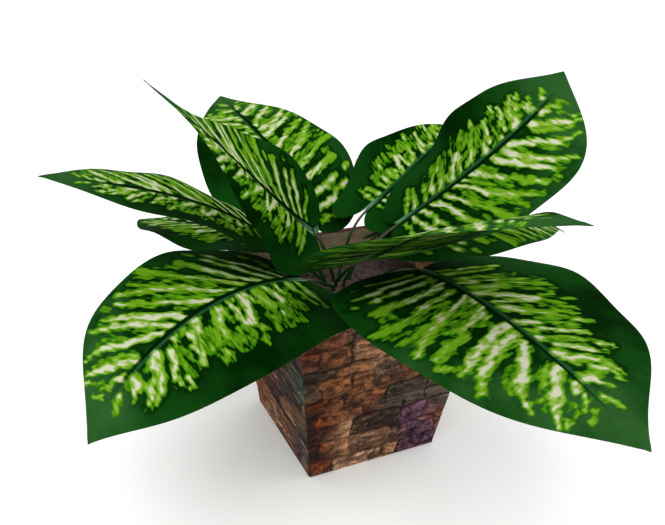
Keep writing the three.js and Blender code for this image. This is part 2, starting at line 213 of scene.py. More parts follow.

# Light streaks along the side veins. Each is: where it starts and ends, in percent
# of the blade's length and half-width, how far its middle bows towards the tip, its half-width at
# start and end in millimetres, and how cream it is there, from 0 for lime to 1.
RIGHT_STREAKS = [
    (3.5, 14, 4.5, 28, 0, 2.2, 2.2, 0.3, 0.4),
    (4.5, 34, 3, 52, 0, 1.8, 2.4, 0.2, 0.5),
    (5, 61, 6, 66, 0, 1.4, 1.4, 0, 0),
    (8, 8, 11.5, 48, -1, 2.2, 4, 0.8, 1),
    (11.5, 46, 17, 77, 1, 4, 3.4, 1, 0.6),
    (12.5, 8, 16.8, 46, 3, 2.6, 4, 0.7, 1),
    (16.8, 44, 20.7, 69, 1, 4, 2.2, 0.9, 0.9),
    (18.5, 8, 25, 44, 3, 2.4, 4, 1, 1),
    (25, 42, 30, 76, -1, 4, 4.4, 1, 0.2),
    (25.3, 10, 32, 44, 1, 3, 1.8, 0.7, 0.8),
    (32, 42, 41, 93, 2, 2.2, 4.5, 0.6, 0),
    (31, 5, 39, 40, 2, 3.4, 2.6, 0.9, 1),
    (39, 38, 46, 63, 1, 5, 5.5, 0.6, 0.5),
    (46, 62, 54, 84, 0, 5.5, 1.2, 0.5, 0.4),
    (32.5, 26, 35, 50, 1, 4.5, 3.5, 0, 0),
    (35, 50, 41, 60, -2, 2.5, 2, 0, 0),
    (44, 60, 47.5, 85, 0, 4, 2, 0, 0),
    (41.5, 77, 44, 88, 0, 2, 1.2, 0, 0),
    (35, 5, 37, 14, 0, 1.6, 1.4, 0.7, 0.3),
    (37.5, 17, 43, 42, 1, 2.6, 3, 0, 0),
    (40, 14, 47.5, 46, 0, 3.5, 5, 0, 0),
    (39.5, 6, 48.2, 37, 1, 3.6, 3.2, 0.9, 0.9),
    (48.2, 37, 53, 60, 2, 3.4, 3.4, 0.4, 0.1),
    (53, 58, 57.2, 75, 1, 4.4, 3.6, 0.3, 0.6),
    (44.5, 10, 48.5, 21, 0, 1.2, 1, 0.2, 0),
    (50.5, 8, 54.5, 28, -1, 4.6, 5.4, 1, 1),
    (55, 9, 58, 30, 0, 4.4, 3.4, 1, 1),
    (55.2, 28, 61, 58, -1, 4.4, 3.6, 1, 1),
    (60.8, 56, 65, 73, 0, 3.6, 1, 0.8, 0.2),
    (58.2, 28, 65, 56, 0, 4.2, 4.4, 0.9, 0.9),
    (64.8, 55, 71, 72, 0, 4.4, 1.8, 0.8, 0.4),
    (59.8, 16, 61.2, 30, 0, 3.6, 3.2, 0, 0),
    (58.8, 9, 67.2, 27, 1, 3.6, 4.4, 1, 1),
    (67, 26, 72.8, 44, 0, 4.2, 4, 1, 1),
    (72.6, 43, 79.7, 55, -1, 4, 1.2, 0.9, 0.5),
    (66.8, 34, 72.7, 55, -1, 2.6, 1.6, 0.2, 0),
    (70.5, 5, 75, 20, -1, 5.4, 4.2, 1, 1),
    (75, 20, 80.5, 36, 0, 4.8, 3.6, 1, 1),
    (80.4, 35, 85.2, 47, 0, 3.2, 1, 0.9, 0.5),
    (69, 10, 73.5, 26, -1, 2, 2.2, 0.4, 0.1),
    (73.5, 26, 79.7, 43, 0, 2.2, 1, 0.1, 0.2),
    (76.8, 5, 79, 10, 0, 3.6, 3.2, 1, 0.9),
    (81.2, 7, 83.6, 18, 0, 2.6, 1.2, 0.9, 0.3),
    (81.8, 23, 84.2, 30, 0, 1.2, 1, 0.2, 0),
    (85.4, 12, 87.3, 22, 0, 1.8, 0.8, 0.5, 0.1),
    (84.8, 35, 86.4, 42, 0, 1.4, 1, 0.7, 0.4),
    (61.6, 73, 61, 82, 0, 2, 1.4, 0.1, 0),
    (22.5, 83, 23.6, 89, 0, 1.6, 1.2, 0.4, 0.1),
    (33, 69, 34.2, 78, 0, 1.6, 1, 0, 0),
]
LEFT_STREAKS = [
    (5.5, 8, 6.5, 18, 0, 3, 2.2, 0.5, 0.2),
    (7.3, 25, 8, 42, 0, 3.6, 3.4, 0.7, 0.5),
    (8.5, 44, 9.3, 55, 0, 2.2, 1.8, 0.3, 0.4),
    (10.8, 8, 11.3, 20, 0, 4.4, 3.4, 0.6, 0.5),
    (11.4, 20, 12.5, 46, -1, 3, 2.6, 0.5, 0.3),
    (16.5, 7, 17.8, 30, 0, 3, 2.8, 0.6, 0.5),
    (17.8, 30, 19.6, 52, 1, 3.2, 3.6, 0.2, 0),
    (20.5, 6, 22.8, 36, -1, 3.2, 2.4, 0.8, 0.8),
    (23, 36, 26.8, 66, -1, 3.8, 3.4, 0.2, 0),
    (25.5, 7, 27.5, 34, 0, 4.6, 4, 0.5, 0.3),
    (27.5, 32, 28.5, 58, 0, 6, 6.6, 0.05, 0),
    (29, 55, 31.8, 66, 0, 5, 2, 0, 0),
    (27, 45, 28.5, 56, 0, 2.2, 2, 0.7, 0.5),
    (30, 5, 29.2, 22, 0, 3.4, 2.6, 0.9, 0.4),
    (31.8, 6, 35, 28, -1, 4.4, 3.4, 1, 1),
    (35, 27, 39.2, 41, -1, 3.6, 4.4, 1, 1),
    (36.7, 6, 38, 22, 0, 3.2, 2.4, 0.9, 0.8),
    (38, 22, 39.8, 38, 0, 2.4, 3, 0.7, 0.9),
    (32.2, 45, 35.5, 65, 0, 2.4, 1.6, 0, 0),
    (37.3, 48, 38.3, 56, 0, 1.6, 1.4, 0.4, 0.2),
    (41.4, 62, 42.2, 68, 0, 3, 2.4, 0.1, 0),
    (40.8, 7, 45, 20, -1, 4.6, 4.6, 0.8, 0.8),
    (45, 18, 48.8, 40, 0, 4.8, 3.6, 0.7, 0.5),
    (41, 27, 46, 26, 0, 3.4, 4, 0, 0),
    (41, 43, 48.5, 60, -2, 4.6, 3.8, 0, 0),
    (48, 60, 50, 38, 1, 3.4, 5, 0, 0),
    (44, 42, 49.5, 44, 0, 3, 5, 0, 0),
    (50, 40, 51.5, 22, 0, 5.4, 5, 0, 0),
    (49.5, 5, 52.2, 18, 0, 4, 3, 0.9, 0.8),
    (52.2, 18, 55.2, 46, 1, 3.4, 4, 0.2, 0),
    (54, 13, 55, 20, 0, 2.8, 2.4, 0.9, 0.6),
    (55, 22, 60.2, 48, 0, 2.4, 1.8, 0.8, 0.7),
    (52.4, 50, 55.2, 63, 0, 2.4, 1.4, 0.5, 0.3),
    (54.5, 5, 56, 10, 0, 2.4, 1.6, 0.3, 0.1),
    (58.3, 5, 59, 10, 0, 3.8, 3, 1, 0.6),
    (59.6, 12, 61.5, 30, 0, 4.2, 3.4, 0.1, 0),
    (62.2, 12, 69, 45, 0, 2.6, 1.8, 0.9, 0.8),
    (61, 30, 64.8, 50, 1, 2.6, 1.6, 0.1, 0),
    (66, 46, 67.8, 55, 0, 2.2, 1.8, 0.8, 0.8),
    (65.5, 6, 69, 12, 0, 5.4, 6.6, 1, 1),
    (68.5, 12, 70, 26, 0, 5.4, 4.4, 0.9, 0.5),
    (70, 26, 74, 37, 0, 4.2, 2.8, 0.6, 0.7),
    (74, 36, 78.2, 41, 0, 2.4, 1.4, 0.6, 0.3),
    (72.8, 22, 75.5, 30, 0, 3.4, 3, 0.7, 0.8),
    (76.8, 32, 79, 36, 0, 2, 1.8, 0.8, 0.5),
    (75.5, 5, 76.4, 14, 0, 5, 4.4, 1, 0.9),
    (76.5, 14, 75.5, 23, 0, 3.6, 3, 0.3, 0.1),
    (77.8, 12, 80.5, 22, 0, 2.6, 1.2, 0.8, 0.3),
    (82.8, 4, 83.8, 8, 0, 3, 2.2, 0.9, 0.5),
    (84.2, 8, 87, 12, 0, 1.4, 0.8, 0.3, 0.1),
]

# Broad lighter and darker parts of the blade's green, partly its own colour and partly painted sheen
# and painted shade: place, radius in shares, and amount.
TONE_SHEEN_AND_SHADE = [
    (0.9, 0, 0.2, 0.85),
    (0.78, 0.6, 0.22, 0.5),
    (0.12, 0.85, 0.25, 0.4),
    (0.55, 0.78, 0.25, -0.75),
    (0.1, -0.85, 0.25, 0.3),
    (0.55, -0.9, 0.2, 0.5),
    (0.8, -0.5, 0.2, 0.7),
    (0.45, 0, 0.28, -0.6),
    (0.1, -0.3, 0.2, -0.5),
    (0.1, 0.3, 0.15, -0.3),
]

# Kinds of stone in the masonry, as colours on screen.
STONE_KINDS = {
    "tan": (148, 92, 52), "sand": (158, 116, 84), "beige": (200, 152, 118), "brown": (118, 70, 44),
    "umber": (66, 28, 14), "rust": (108, 46, 16), "orange": (176, 72, 10), "slate": (60, 56, 44),
    "grey": (94, 80, 70), "violet": (92, 60, 80), "charcoal": (54, 32, 24), "teal": (56, 82, 70),
}

# Where each kind lies: places along the wall from its middle, height, and how far it reaches.
# The colours blend, and each spot takes them between itself and the middle of its stone.
FRONT_STONES = {
    "orange": [(-75, 100, 8), (-65, 40, 7), (-70, 15, 8), (-65, 70, 7)],
    "slate": [(-80, 140, 14), (-75, 115, 12), (25, 95, 16), (10, 65, 16), (-75, 10, 10)],
    "charcoal": [(-90, 90, 13), (-80, 60, 13), (-85, 35, 13), (0, 50, 13)],
    "rust": [(-90, 160, 14)],
    "brown": [(-60, 160, 24), (-40, 90, 18), (40, 130, 26)],
    "tan": [(-50, 140, 14), (-50, 115, 18), (-15, 105, 14), (65, 40, 10), (75, 165, 30),
        (10, 170, 24)],
    "grey": [(-40, 175, 12), (-5, 125, 12), (50, 85, 16), (70, 70, 10), (75, 115, 18)],
    "sand": [(-20, 150, 22), (-35, 55, 12), (-30, 30, 18), (10, 20, 16)],
    "umber": [(-10, 75, 10), (-65, 55, 14), (-50, 25, 12), (-65, 20, 12)],
    "violet": [(40, 50, 16), (50, 30, 18), (60, 10, 14)],
    "beige": [(-25, 10, 16)],
}
LEFT_STONES = {
    "brown": [(-55, 25, 18), (15, 70, 12), (25, 35, 12), (0, 120, 26), (-60, 150, 30)],
    "umber": [(-25, 55, 12)],
    "sand": [(-25, 20, 14), (5, 30, 14)],
    "slate": [(5, 55, 12), (40, 85, 16), (65, 50, 12), (70, 160, 24)],
    "grey": [(60, 100, 14), (40, 35, 12), (65, 15, 10), (20, 165, 26)],
    "teal": [(85, 120, 14), (85, 100, 12)],
    "tan": [(60, 85, 7), (75, 45, 8)],
    "violet": [(-5, 85, 10), (40, 20, 14), (45, 10, 14)],
    "rust": [(-50, 90, 22)],
}
# The planed inside wall's own colour, painted lighter as painted light against the shade it lies in.
LIT_INNER_WALL = (222, 190, 168)
RIM = (128, 66, 66)
RUST_STAIN = (150, 66, 20)
CHIP = (192, 150, 120)
PIT = (36, 22, 18)
CREVICE_SHADE = (24, 14, 12)

# Colours of the soil and the leaves, as on screen.
DARK_SOIL = (52, 38, 36)
LIGHT_SOIL = (104, 84, 80)
SOIL_GRIT = (140, 118, 110)
# Painted shade gives the deepest green of the blade, and painted sheen the lightest.
SHADED_DEEP_GREEN = (2, 28, 1)
MID_GREEN = (12, 58, 12)
SHEEN_GREEN = (42, 85, 38)
HALO_GREEN = (4, 30, 2)
LIME_EDGE = (44, 104, 6)
LIME = (98, 148, 22)
YELLOW = (124, 158, 54)
CREAM = (188, 190, 164)
RIB_SHADE = (2, 26, 5)
RIB_HIGHLIGHT = (46, 90, 56)
RIB_BASE_HIGHLIGHT = (96, 150, 112)
UNDERSIDE = (34, 80, 26)
STALK_GREEN = (20, 54, 22)
STALK_BARK = (76, 80, 58)
KEEL_GREEN = (30, 76, 34)


def noise(x, y, seed):
    """Smooth random values from -1 to 1 over the plane, one lump for each unit."""
    i, j = np.floor(x).astype(np.int64), np.floor(y).astype(np.int64)
    fx, fy = x - i, y - j
    fx, fy = fx * fx * (3 - 2 * fx), fy * fy * (3 - 2 * fy)

    def at(a, b):
        h = ((a * 73856093) ^ (b * 19349663) ^ (seed * 83492791)) & 0xFFFFFFFF
        h = ((h ^ (h >> 13)) * 1274126177) & 0xFFFFFFFF
        return ((h ^ (h >> 16)) & 0xFFFF) / 32767.5 - 1

    near = at(i, j) * (1 - fx) + at(i + 1, j) * fx
    far = at(i, j + 1) * (1 - fx) + at(i + 1, j + 1) * fx
    return near * (1 - fy) + far * fy


def layered(x, y, seed, layers=3):
    """Noise with finer and finer layers on top, each half as strong."""
    return sum(noise(x * 2**k, y * 2**k, seed + k) / 2**k for k in range(layers))


def bell(distance, width):
    return np.exp(-((distance / width) ** 2))


def rgb(r, g, b):
    """A colour as seen on screen, 0 to 255 a channel, in Blender's linear values."""
    return [(c / 255 / 12.92 if c <= 10 else ((c / 255 + 0.055) / 1.055) ** 2.4) for c in (r, g, b)]


def new_object(name, data):
    made = bpy.data.objects.new(name, data)
    bpy.context.scene.collection.objects.link(made)
    return made


def make_piece(name, points, faces, material, attributes=None):
    """A mesh object from points in millimetres, riding on the part's one body."""
    mesh = bpy.data.meshes.new(name)
    mesh.from_pydata((np.asarray(points) * MM).tolist(), [], faces)
    for key, values in (attributes or {}).items():
        values = np.asarray(values, np.float32)
        kind = {1: "FLOAT", 2: "FLOAT_VECTOR"}[values.ndim]
        layer = mesh.attributes.new(key, kind, "POINT")
        layer.data.foreach_set("value" if kind == "FLOAT" else "vector", values.ravel())
    mesh.shade_smooth()
    mesh.set_sharp_from_angle(angle=math.radians(SHARP_ANGLE))
    mesh.materials.append(material)
    piece = new_object(name, mesh)
    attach(piece, "root")
    return piece


def grid_faces(start, rows, columns, downward=False):
    """Faces of a grid of points that are numbered row by row from start."""
    faces = []
    for row in range(rows - 1):
        for column in range(columns - 1):
            p = start + row * columns + column
            face = (p, p + columns, p + columns + 1, p + 1)
            faces.append((p, *face[:0:-1]) if downward else face)
    return faces


def ring_faces(rings, count):
    """Faces of a closed skin over rings of points, with a cap at each end."""
    faces = []
    for k in range(rings - 1):
        for i in range(count):
            a, b = k * count + i, k * count + (i + 1) % count
            faces.append((a, b, b + count, a + count))
    faces.append(tuple(range(count - 1, -1, -1)))
    last = (rings - 1) * count
    faces.append(tuple(range(last, last + count)))
    return faces


# Leaves


def direction(rise, heading):
    return np.stack(
        [np.cos(rise) * np.cos(heading), np.cos(rise) * np.sin(heading), np.sin(rise)], -1
    )


def midrib_rise(leaf, s):
    base, middle, tip = leaf["rise"]
    return np.radians(base * (1 - s) * (1 - 2 * s) + 4 * middle * s * (1 - s) + tip * s * (2 * s - 1))


def midrib_heading(leaf, s):
    return np.radians(leaf["heading"] + leaf["turn"] * s * s)


def stalk_path(leaf):
    """Points of the stalk from the soil to the blade."""
    length, rise, turn = leaf["stalk"]
    u = (np.arange(STALK_STEPS) + 0.5) / STALK_STEPS
    upright = (90 - rise) * np.maximum(1 - u / STALK_BEND, 0) ** 2
    slope = rise + (leaf["rise"][0] - rise) * u * u + upright
    heading = leaf["heading"] + turn * (1 - u) ** 2
    steps = direction(np.radians(slope), np.radians(heading)) * length / STALK_STEPS
    foot = np.array([*leaf["foot"], SOIL_TOP], float)
    return np.vstack([foot, foot + np.cumsum(steps, 0)])


def midrib_path(leaf, base):
    s = (np.arange(SPINE_STEPS) + 0.5) / SPINE_STEPS
    steps = direction(midrib_rise(leaf, s), midrib_heading(leaf, s)) * leaf["length"] / SPINE_STEPS
    return np.vstack([base, base + np.cumsum(steps, 0)])


def blade_frame(leaf, s):
    """Directions along the midrib, across the blade and up from it."""
    heading = midrib_heading(leaf, s)
    along = direction(midrib_rise(leaf, s), heading)
    level = np.stack([-np.sin(heading), np.cos(heading), np.zeros_like(heading)], -1)
    roll = np.radians(leaf["roll"] + leaf["twist"] * s)[..., None]
    across = level * np.cos(roll) + np.cross(along, level) * np.sin(roll)
    return along, across, np.cross(along, across)


def blade_surface(leaf, path, x, y):
    """The blade's middle surface, x from base to tip, y across, positive on the left."""
    s = np.clip(x, 0, 1)
    marks = np.linspace(0, 1, SPINE_STEPS + 1)
    point = np.stack([np.interp(s, marks, path[:, k]) for k in range(3)], -1)
    along, across, up = blade_frame(leaf, s)
    half = np.where((y >= 0)[..., None], np.array(leaf["left"], float), np.array(leaf["right"], float))
    tilt, curl, wave, phase = np.moveaxis(half, -1, 0)
    left_pinch, right_pinch = leaf.get("pinch", (0, 0))
    pinch = np.where(y < 0, right_pinch, left_pinch)
    f = np.abs(y) * (1 - pinch * np.clip(1 - x / PINCH_END, 0, 1))
    bend = np.radians(curl) * f / 2
    chord = f * leaf["half_width"] * np.sinc(bend / np.pi)
    ripple = wave * f * f * np.sin(2 * np.pi * (WAVES * x + phase))
    angle = np.radians(tilt) + bend
    return (
        point
        + along * ((x - s) * leaf["length"])[..., None]
        + across * (np.sign(y) * chord * np.cos(angle))[..., None]
        + up * (chord * np.sin(angle) + ripple)[..., None]
    )


def cubic(a, b, c, d, t):
    u = 1 - t
    return a * u**3 + 3 * b * u * u * t + 3 * c * u * t * t + d * t**3


def blade_rows(leaf):
    """Where each row leaves the midrib, and where it meets the edge, from lobe to tip."""
    t = LOBE_START + (1 - LOBE_START) * np.arange(LOBE_ROWS) / LOBE_ROWS
    root = (WIDEST_AT - VEIN_REACH) * t**1.6
    x = cubic(0, -1.6 * leaf["lobe"], -0.9 * leaf["lobe"], WIDEST_AT, t)
    y = cubic(0, 0.28, 1, 1, t)
    t = np.arange(BLADE_ROWS) / BLADE_ROWS
    fore_x = cubic(WIDEST_AT, 0.55 + 0.2 * leaf["fullness"], 0.8, 1, t)
    fore_y = cubic(1, 1, 0.05 + 0.45 * leaf["fullness"], 0, t)
    fore_root = fore_x - VEIN_REACH * (1 - fore_x) / (1 - WIDEST_AT)
    return (np.concatenate(pair) for pair in ((root, fore_root), (x, fore_x), (y, fore_y)))


def streak_fields(x, y, streaks):
    """How far inside the light and the cream markings each point lies, in millimetres."""
    px, py = x * PATTERN_LENGTH, y * PATTERN_HALF_WIDTH
    wobble = 1.1 * noise(px / 5, py / 9, SEED) + 0.5 * noise(px / 2.2, py / 5, SEED + 1)
    px = px + wobble
    py = py + 2 * noise(px / 6, py / 6, SEED + 2)
    percent = np.array([PATTERN_LENGTH, PATTERN_HALF_WIDTH]) / 100
    light = cream = np.full(x.shape, FAR_FROM_STREAK)
    for x0, y0, x1, y1, bow, w0, w1, c0, c1 in streaks:
        start = percent * (x0, y0)
        chord = percent * (x1, y1) - start
        length = np.hypot(*chord)
        chord = chord / length
        # Along and beside the streak's chord, with its middle bowed towards the tip.
        along = (px - start[0]) * chord[0] + (py - start[1]) * chord[1]
        beside = (px - start[0]) * chord[1] - (py - start[1]) * chord[0]
        t = np.clip(along / length, 0, 1)
        aside = beside - 4 * bow * t * (1 - t)
        distance = np.hypot(aside, along - t * length)
        width = w0 + (w1 - w0) * t
        creamy = c0 + (c1 - c0) * t
        depth = 0.85 * width + LIME_SPREAD - distance
        if max(c0, c1) < 0.25:
            depth = np.minimum(depth, LIME_DEPTH)
        light = np.maximum(light, depth)
        pale = np.minimum(creamy * (0.35 * width + 2.5) - CREAM_INSET - distance, CREAM_DEPTH)
        cream = np.maximum(cream, np.where(creamy > 0.02, pale, FAR_FROM_STREAK))
    return light, cream


def tone_sheen_shade_field(x, y):
    total = np.zeros(x.shape)
    for tx, ty, radius, amount in TONE_SHEEN_AND_SHADE:
        total += amount * bell(np.hypot(x - tx, 0.5 * (y - ty)), radius)
    return total


def blade_relief(root, f, off_rib, length):
    """Height over the smooth blade: a groove along the midrib, side veins and soft puckers."""
    groove = -GROOVE_DEPTH * bell(off_rib, GROOVE_WIDTH) * (1 - 0.7 * root)
    shoulder = SHOULDER_HEIGHT * bell(off_rib - SHOULDER_AT, 3)
    fade = np.clip((f - 0.03) / 0.12, 0, 1) * np.sqrt(np.clip(1 - f, 0, 1))
    veins = VEIN_HEIGHT * np.cos(2 * np.pi * root * length / VEIN_SPACING) * fade
    pucker = PUCKER_HEIGHT * noise(root * length / 14, off_rib / 16, SEED + 5) * fade
    return groove + shoulder + veins + pucker


def tube(path, radii, sides):
    """Points and faces of a closed round tube along a path."""
    path = np.asarray(path, float)
    along = np.gradient(path, axis=0)
    along /= np.linalg.norm(along, axis=1, keepdims=True)
    across = np.cross([0, 0, 1.0], along[-1])
    rings = []
    turn = np.arange(sides) * 2 * np.pi / sides
    for k in range(len(path) - 1, -1, -1):
        across = across - along[k] * across.dot(along[k])
        across /= np.linalg.norm(across)
        up = np.cross(along[k], across)
        ring = path[k] + radii[k] * (np.outer(np.cos(turn), across) + np.outer(np.sin(turn), up))
        rings.insert(0, ring)
    return np.vstack(rings), ring_faces(len(rings), sides)


def blade_mesh(leaf, path):
    """The blade as a closed skin: a fine upper face, a coarser lower face, and the edge between."""
    root, edge_x, edge_y = blade_rows(leaf)
    f = np.linspace(-1, 1, 2 * HALF_COLUMNS + 1)
    share = np.abs(f)
    x = root[:, None] + (edge_x - root)[:, None] * share
    y = edge_y[:, None] * f
    off_rib = np.abs(y) * leaf["half_width"]
    middle = blade_surface(leaf, path, x, y)
    forward, leftward = np.gradient(middle, axis=(0, 1))
    normal = np.cross(forward, leftward)
    normal /= np.linalg.norm(normal, axis=-1, keepdims=True)
    roots = np.repeat(root[:, None], len(f), 1)
    relief = blade_relief(roots, share, off_rib, leaf["length"])
    near_edge = np.clip((share - 1 + THIN_EDGE) / THIN_EDGE, 0, 1) ** 2
    thick = BLADE_THICKNESS + (EDGE_THICKNESS - BLADE_THICKNESS) * near_edge
    top = middle + normal * (relief + thick / 2)[..., None]
    low = (middle + normal * (relief - thick / 2)[..., None])[::2, ::2]
    rows, columns = x.shape
    tip = blade_surface(leaf, path, np.array([1.0]), np.array([0.0]))[0]
    rise = normal[-1, HALF_COLUMNS] * EDGE_THICKNESS / 2
    points = np.vstack([top.reshape(-1, 3), tip + rise, low.reshape(-1, 3), tip - rise])
    upper_tip = rows * columns
    under = upper_tip + 1
    low_rows, low_columns = low.shape[:2]
    lower_tip = under + low_rows * low_columns
    faces = grid_faces(0, rows, columns)
    faces += grid_faces(under, low_rows, low_columns, downward=True)
    faces += [(p, upper_tip, p + 1) for p in range(upper_tip - columns, upper_tip - 1)]
    faces += [(p, p + 1, lower_tip) for p in range(lower_tip - low_columns, lower_tip - 1)]

    # The edge, walked once round. Every second upper point has a lower one below it.
    rim = [(0, c) for c in range(columns - 1, 0, -1)] + [(r, 0) for r in range(rows)]
    rim += [None] + [(r, columns - 1) for r in range(rows - 1, 0, -1)]

    def upper(key):
        return upper_tip if key is None else key[0] * columns + key[1]

    def lower(key):
        if key is None:
            return lower_tip
        r, c = key
        return None if r % 2 or c % 2 else under + (r // 2) * low_columns + c // 2

    held = lower(rim[0])
    for key, following in zip(rim, rim[1:] + rim[:1]):
        faces.append((upper(key), held, upper(following)))
        if lower(following) is not None:
            faces.append((upper(following), held, lower(following)))
            held = lower(following)

    # Markings, from one pattern for all the leaves, moved along by the leaf's shift.
    pattern_x = x - leaf.get("shift", 0) * np.sin(np.pi * np.clip(x, 0, 1))
    halves = [streak_fields(pattern_x, np.abs(y), s) for s in (LEFT_STREAKS, RIGHT_STREAKS)]
    light, cream = (np.where(f >= 0, left, right) for left, right in zip(*halves))
    # Broad painted sheen and painted shade, besides the blade's own lighter and darker green.
    tone_sheen_shade = tone_sheen_shade_field(pattern_x, y)
    flow = np.stack([roots * leaf["length"], off_rib * np.sign(y + 1e-9), np.zeros_like(x)], -1)

    def both(grid, at_tip):
        flat = [grid.reshape(rows * columns, -1), [np.atleast_1d(at_tip)]]
        flat += [grid[::2, ::2].reshape(low_rows * low_columns, -1), [np.atleast_1d(at_tip)]]
        return np.vstack(flat).squeeze()

    fields = {
        "light": both(light, FAR_FROM_STREAK),
        "cream": both(cream, FAR_FROM_STREAK),
        "tone_sheen_shade": both(tone_sheen_shade, tone_sheen_shade[-1, HALF_COLUMNS]),
        "off_rib": both(np.sign(y) * off_rib, 0.0),
        "along": both(np.clip(x, 0, 1), 1.0),
        "flow": both(flow, flow[-1, HALF_COLUMNS]),
    }
    fields["under"] = np.concatenate([np.zeros(under), np.ones(len(points) - under)])
    fields["stalk"] = np.full(len(points), -1.0)
    return points, faces, fields


def make_leaf(name, leaf, material):
    stalk = stalk_path(leaf)
    path = midrib_path(leaf, stalk[-1])
    points, faces, fields = blade_mesh(leaf, path)

    # The stalk runs on under the blade as the keel of the midrib.
    s = np.linspace(0.0, KEEL_END, KEEL_STEPS)
    rib = blade_surface(leaf, path, s, np.zeros_like(s))
    up = blade_frame(leaf, s)[2]
    rib_radius = STALK_TOP_RADIUS * (1 - KEEL_TAPER * s)
    rib = rib - up * (KEEL_DROP + KEEL_DROP_SHARE * rib_radius)[:, None]
    upright = stalk[::2]
    share = np.linspace(0, 1, len(upright))
    upright = upright + (share**6)[:, None] * (rib[0] - stalk[-1])
    sunk = [upright[0] - [0, 0, STALK_SUNK]]
    line = np.vstack([sunk, upright, rib[1:]])
    stalk_radius = STALK_FOOT_RADIUS + (STALK_TOP_RADIUS - STALK_FOOT_RADIUS) * share
    radii = np.concatenate([[STALK_FOOT_RADIUS], stalk_radius, rib_radius[1:]])
    tube_points, tube_faces = tube(line, radii, STALK_SIDES)
    offset = len(points)
    faces += [tuple(v + offset for v in face) for face in tube_faces]
    points = np.vstack([points, tube_points])

    along_line = np.concatenate([[0], share, 1 + s[1:]]).repeat(STALK_SIDES)
    plain = dict(light=FAR_FROM_STREAK, cream=FAR_FROM_STREAK, tone_sheen_shade=0, off_rib=0, under=1)
    extra = {key: np.full(len(tube_points), float(value)) for key, value in plain.items()}
    extra.update(along=np.clip(along_line - 1, 0, 1), flow=tube_points, stalk=along_line)
    fields = {key: np.concatenate([fields[key], extra[key]]) for key in fields}
    piece = make_piece(name + "_fine", points, faces, material, fields)
    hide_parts(name)


# Planter and soil


def pot_half(z):
    return (POT_FOOT + (POT_TOP - POT_FOOT) * z / POT_HEIGHT) / 2


def square_ring(half, cut):
    """Points round a square with small cut corners, anticlockwise from the front left corner."""
    inner = half - cut
    run = np.linspace(-inner, inner, SIDE_POINTS)
    ring = []
    for turn in range(4):
        c, s = round(math.cos(turn * math.pi / 2)), round(math.sin(turn * math.pi / 2))
        ring.append(np.stack([c * run + s * half, s * run - c * half], -1))
    return np.vstack(ring)


def laid_colour(place, z, side):
    """The masonry's colour at a place, from the kinds of stone laid out for that wall."""
    # Where nothing is laid, it is brown.
    total = np.tile(np.array(rgb(*STONE_KINDS["brown"])) * 0.03, (len(place), 1))
    weight = np.full((len(place), 1), 0.03)
    for k, stones in enumerate((FRONT_STONES, FRONT_STONES, FRONT_STONES, LEFT_STONES)):
        # The two hidden walls are the front one mirrored, and turned on its head.
        across = -place if k == RIGHT else place
        height = POT_HEIGHT - z if k == BACK else z
        for kind, places in stones.items():
            laid = np.array(rgb(*STONE_KINDS[kind]))
            for middle, level, reach in places:
                far = np.hypot(across - middle, 1.25 * (height - level))
                share = (bell(far, reach) * (side == k))[:, None]
                total += share * laid
                weight += share
    return total / weight


